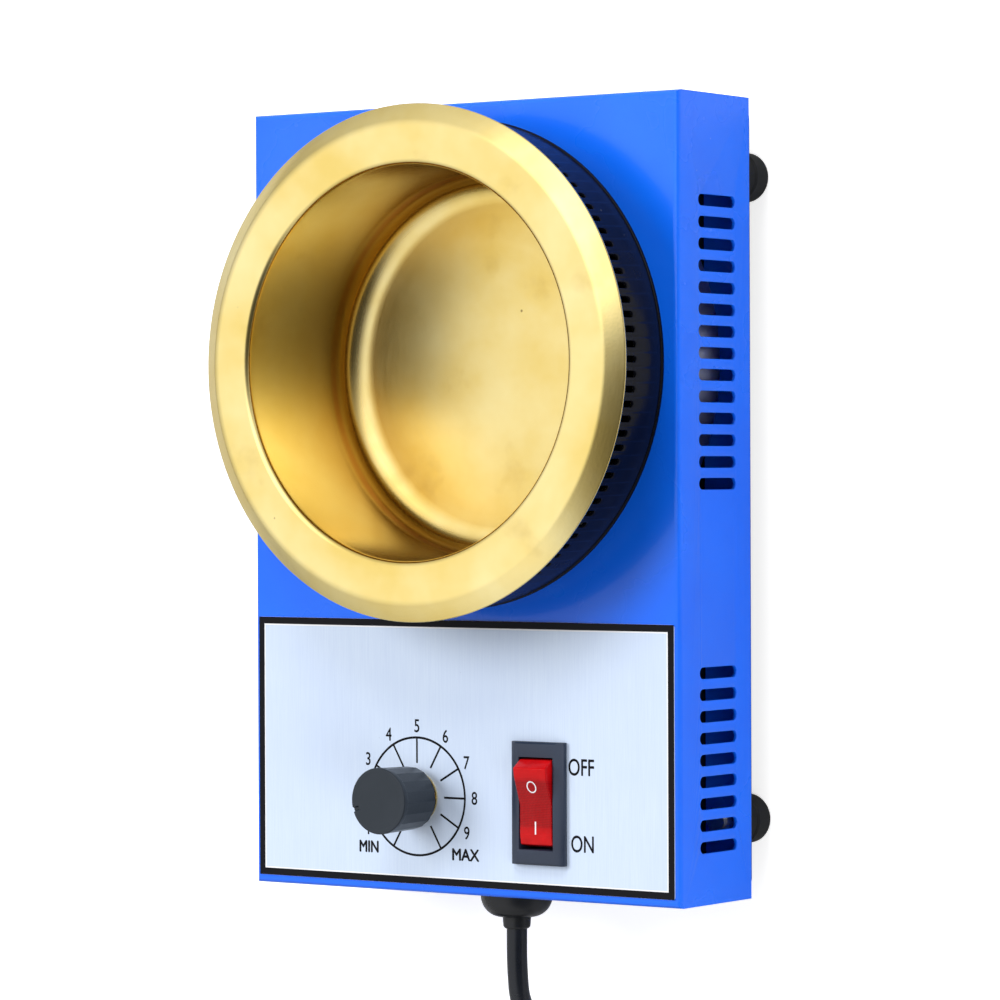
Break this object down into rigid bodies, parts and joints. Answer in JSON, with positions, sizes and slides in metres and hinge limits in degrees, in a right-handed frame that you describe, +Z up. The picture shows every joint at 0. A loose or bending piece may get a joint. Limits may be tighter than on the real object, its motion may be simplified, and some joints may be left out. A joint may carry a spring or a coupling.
{
  "type": "solder pot",
  "caption": "Bench solder pot: flanged metal cup over a slotted guard ring on a folded steel case with vents, a temperature dial, a lit rocker switch and a mains cord.",
  "frame": {"origin": "on the table, under the middle of the case's footprint", "axes": "+X to the right, +Y to the rear, where the cup is, +Z up"},
  "size_m": [0.146, 0.3249, 0.0685],
  "materials": {
    "blue_paint": "satin powder coat",
    "dark_paint": "satin",
    "gold_steel": "satin gold coloured coating on drawn steel",
    "black_enamel": "gloss",
    "foot_rubber": "matte",
    "zinc_steel": "zinc plated",
    "shield_steel": "galvanised",
    "heater_steel": "heat tinted",
    "ceramic_fibre": "soft board",
    "ceramic": "glazed ceramic",
    "label_silver": "brushed print film",
    "knob_plastic": "moulded",
    "brass": "turned",
    "board_laminate": "paper laminate",
    "black_plastic": "moulded",
    "white_plastic": "moulded",
    "green_plastic": "moulded",
    "capacitor_yellow": "potted",
    "sink_aluminium": "extruded",
    "copper_winding": "enamelled wire",
    "red_lens": "translucent",
    "lamp_glass": "clear",
    "cord_rubber": "smooth",
    "wire_sleeve": "smooth",
    "live_sleeve": "smooth",
    "neutral_sleeve": "smooth",
    "red_sleeve": "smooth",
    "earth_sleeve": "smooth"
  },
  "bodies": {
    "root": {"top_shell": "blue_paint", "base_plate": "dark_paint", "foot_front_left": "foot_rubber", "foot_front_right": "foot_rubber", "foot_rear_left": "foot_rubber", "foot_rear_right": "foot_rubber", "foot_screws": "zinc_steel", "foot_nuts": "zinc_steel", "crucible": "gold_steel", "guard_ring": "black_enamel", "ring_screws": "zinc_steel", "ring_nuts": "zinc_steel", "heater_band": "heater_steel", "band_screw": "zinc_steel", "insulation_ring": "ceramic_fibre", "insulation_disc": "ceramic_fibre", "heat_shield": "shield_steel", "lead_bushing": "ceramic", "hold_down_stud": "zinc_steel", "hold_down_washer": "zinc_steel", "hold_down_nut": "zinc_steel", "panel_label": "label_silver", "dial_nut": "brass", "dial_washer": "brass", "dial_bushing": "brass", "dial_body": "green_plastic", "circuit_board": "board_laminate", "board_spacers": "white_plastic", "board_screws": "zinc_steel", "triac": "black_plastic", "heat_sink": "sink_aluminium", "choke": "copper_winding", "capacitor": "capacitor_yellow", "terminal_block": "green_plastic", "switch_housing": "black_plastic", "terminal_common": "brass", "terminal_load": "brass", "terminal_lamp": "brass", "neon_lamp": "lamp_glass", "cord_grommet": "cord_rubber", "cord_lead": "cord_rubber", "cord_coil": "cord_rubber", "coil_tie": "black_plastic", "cord_tail": "cord_rubber", "plug_body": "cord_rubber", "plug_pins": "brass", "heater_leads": "wire_sleeve", "live_wire": "live_sleeve", "neutral_wire": "neutral_sleeve", "switched_wire": "red_sleeve", "earth_wire": "earth_sleeve", "earth_screw": "brass"},
    "dial": {"knob": "knob_plastic", "knob_insert": "brass", "dial_shaft": "zinc_steel"},
    "rocker": {"rocker": "red_lens", "switch_plunger": "white_plastic", "plunger_spring": "zinc_steel"},
    "lever": {"contact_lever": "brass"}
  },
  "joints": [
    {"name": "dial_turn", "type": "hinge", "parent": "root", "child": "dial", "pos_m": [-0.0137, -0.0769, 0.05], "axis": [0, 0, 1], "range_deg": [-257, 43]},
    {"name": "rocker_tilt", "type": "hinge", "parent": "root", "child": "rocker", "pos_m": [0.0251, -0.0769, 0.044], "axis": [1, 0, 0], "range_deg": [-20, 0]},
    {"name": "lever_tilt", "type": "hinge", "parent": "root", "child": "lever", "pos_m": [0.0251, -0.0769, 0.03205], "axis": [1, 0, 0], "range_deg": [0, 12]}
  ],
  "couplings": [
    {"joint": "lever_tilt", "follows": "rocker_tilt", "ratio": -0.6}
  ]
}
